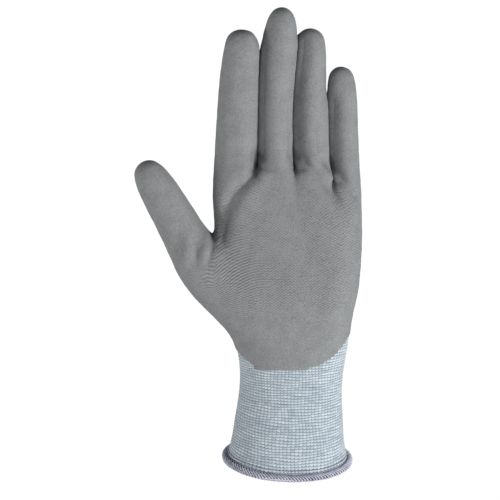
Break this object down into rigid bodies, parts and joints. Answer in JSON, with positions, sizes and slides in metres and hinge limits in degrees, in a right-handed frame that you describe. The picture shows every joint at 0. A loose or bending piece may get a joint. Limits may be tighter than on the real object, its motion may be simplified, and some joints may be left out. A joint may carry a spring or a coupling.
{
  "type": "cut resistant glove",
  "caption": "Knitted cut resistant work glove for the left hand, with a thin grey coating on palm and fingers, a bare knitted wrist and an overlocked edge.",
  "frame": {"origin": "centre of the wrist opening, level with the middle of its edge", "axes": "+Z from the wrist opening to the fingertips, palm facing -Y, thumb at -X, back of the hand at +Y"},
  "size_m": [0.1163, 0.048, 0.243],
  "materials": {
    "liner": "fine jersey knit of pale blue-grey and white yarn, matt",
    "coating": "thin dipped polyurethane, matt with a faint sheen, the knit showing through",
    "binding": "violet-grey overlock looper threads",
    "thread": "violet-grey overlock needle thread",
    "elastic": "covered elastic yarn, matt"
  },
  "bodies": {
    "cuff": {"cuff_liner": "liner", "wrist_liner": "liner", "cuff_elastic_yarn": "elastic", "overlock_binding": "binding", "overlock_needle_thread": "thread"},
    "palm": {"palm_lower_liner": "liner", "palm_upper_liner": "liner", "palm_coating": "coating"},
    "index_proximal": {"index_proximal_liner": "liner", "index_proximal_coating": "coating"},
    "index_middle": {"index_middle_liner": "liner", "index_middle_coating": "coating"},
    "index_distal": {"index_distal_liner": "liner", "index_distal_coating": "coating"},
    "middle_proximal": {"middle_proximal_liner": "liner", "middle_proximal_coating": "coating"},
    "middle_middle": {"middle_middle_liner": "liner", "middle_middle_coating": "coating"},
    "middle_distal": {"middle_distal_liner": "liner", "middle_distal_coating": "coating"},
    "ring_proximal": {"ring_proximal_liner": "liner", "ring_proximal_coating": "coating"},
    "ring_middle": {"ring_middle_liner": "liner", "ring_middle_coating": "coating"},
    "ring_distal": {"ring_distal_liner": "liner", "ring_distal_coating": "coating"},
    "little_proximal": {"little_proximal_liner": "liner", "little_proximal_coating": "coating"},
    "little_middle": {"little_middle_liner": "liner", "little_middle_coating": "coating"},
    "little_distal": {"little_distal_liner": "liner", "little_distal_coating": "coating"},
    "thumb_proximal": {"thumb_proximal_liner": "liner", "thumb_proximal_coating": "coating"},
    "thumb_distal": {"thumb_distal_liner": "liner", "thumb_distal_coating": "coating"}
  },
  "joints": [
    {"name": "wrist_bend", "type": "hinge", "parent": "cuff", "child": "palm", "pos_m": [0, -0.0005, 0.03925], "axis": [1, 0, 0], "range_deg": [-30, 30], "deforming": ["wrist_liner"]},
    {"name": "index_root_bend", "type": "hinge", "parent": "palm", "child": "index_proximal", "pos_m": [-0.02627, -0.01286, 0.16016], "axis": [0.9983, 0, -0.0586], "range_deg": [0, 70]},
    {"name": "index_middle_bend", "type": "hinge", "parent": "index_proximal", "child": "index_middle", "pos_m": [-0.02569, -0.01249, 0.17918], "axis": [0.9983, 0, -0.0586], "range_deg": [0, 90]},
    {"name": "index_tip_bend", "type": "hinge", "parent": "index_middle", "child": "index_distal", "pos_m": [-0.02443, -0.01252, 0.2012], "axis": [0.9983, 0, -0.0586], "range_deg": [0, 60]},
    {"name": "middle_root_bend", "type": "hinge", "parent": "palm", "child": "middle_proximal", "pos_m": [-0.00643, -0.01107, 0.16023], "axis": [0.9986, 0, -0.052], "range_deg": [0, 70]},
    {"name": "middle_middle_bend", "type": "hinge", "parent": "middle_proximal", "child": "middle_middle", "pos_m": [-0.00647, -0.01081, 0.18273], "axis": [0.9986, 0, -0.052], "range_deg": [0, 90]},
    {"name": "middle_tip_bend", "type": "hinge", "parent": "middle_middle", "child": "middle_distal", "pos_m": [-0.00486, -0.01105, 0.20825], "axis": [0.9986, 0, -0.052], "range_deg": [0, 60]},
    {"name": "ring_root_bend", "type": "hinge", "parent": "palm", "child": "ring_proximal", "pos_m": [0.01177, -0.00887, 0.15886], "axis": [1, 0, 0.0015], "range_deg": [0, 70]},
    {"name": "ring_middle_bend", "type": "hinge", "parent": "ring_proximal", "child": "ring_middle", "pos_m": [0.01127, -0.00843, 0.17986], "axis": [1, 0, 0.0015], "range_deg": [0, 90]},
    {"name": "ring_tip_bend", "type": "hinge", "parent": "ring_middle", "child": "ring_distal", "pos_m": [0.01142, -0.00822, 0.20187], "axis": [1, 0, 0.0015], "range_deg": [0, 60]},
    {"name": "little_root_bend", "type": "hinge", "parent": "palm", "child": "little_proximal", "pos_m": [0.02951, -0.00526, 0.15339], "axis": [0.9992, 0, 0.0404], "range_deg": [0, 70]},
    {"name": "little_middle_bend", "type": "hinge", "parent": "little_proximal", "child": "little_middle", "pos_m": [0.02864, -0.00483, 0.16889], "axis": [0.9992, 0, 0.0404], "range_deg": [0, 90]},
    {"name": "little_tip_bend", "type": "hinge", "parent": "little_middle", "child": "little_distal", "pos_m": [0.02824, -0.00456, 0.1849], "axis": [0.9992, 0, 0.0404], "range_deg": [0, 60]},
    {"name": "thumb_root_bend", "type": "hinge", "parent": "palm", "child": "thumb_proximal", "pos_m": [-0.05237, -0.01599, 0.11666], "axis": [0.8759, 0, 0.4824], "range_deg": [0, 45]},
    {"name": "thumb_tip_bend", "type": "hinge", "parent": "thumb_proximal", "child": "thumb_distal", "pos_m": [-0.0613, -0.01683, 0.13322], "axis": [0.8759, 0, 0.4824], "range_deg": [0, 70]}
  ],
  "couplings": [
    {"joint": "index_tip_bend", "follows": "index_middle_bend", "ratio": 0.6666},
    {"joint": "middle_tip_bend", "follows": "middle_middle_bend", "ratio": 0.6666},
    {"joint": "ring_tip_bend", "follows": "ring_middle_bend", "ratio": 0.6666},
    {"joint": "little_tip_bend", "follows": "little_middle_bend", "ratio": 0.6666}
  ]
}
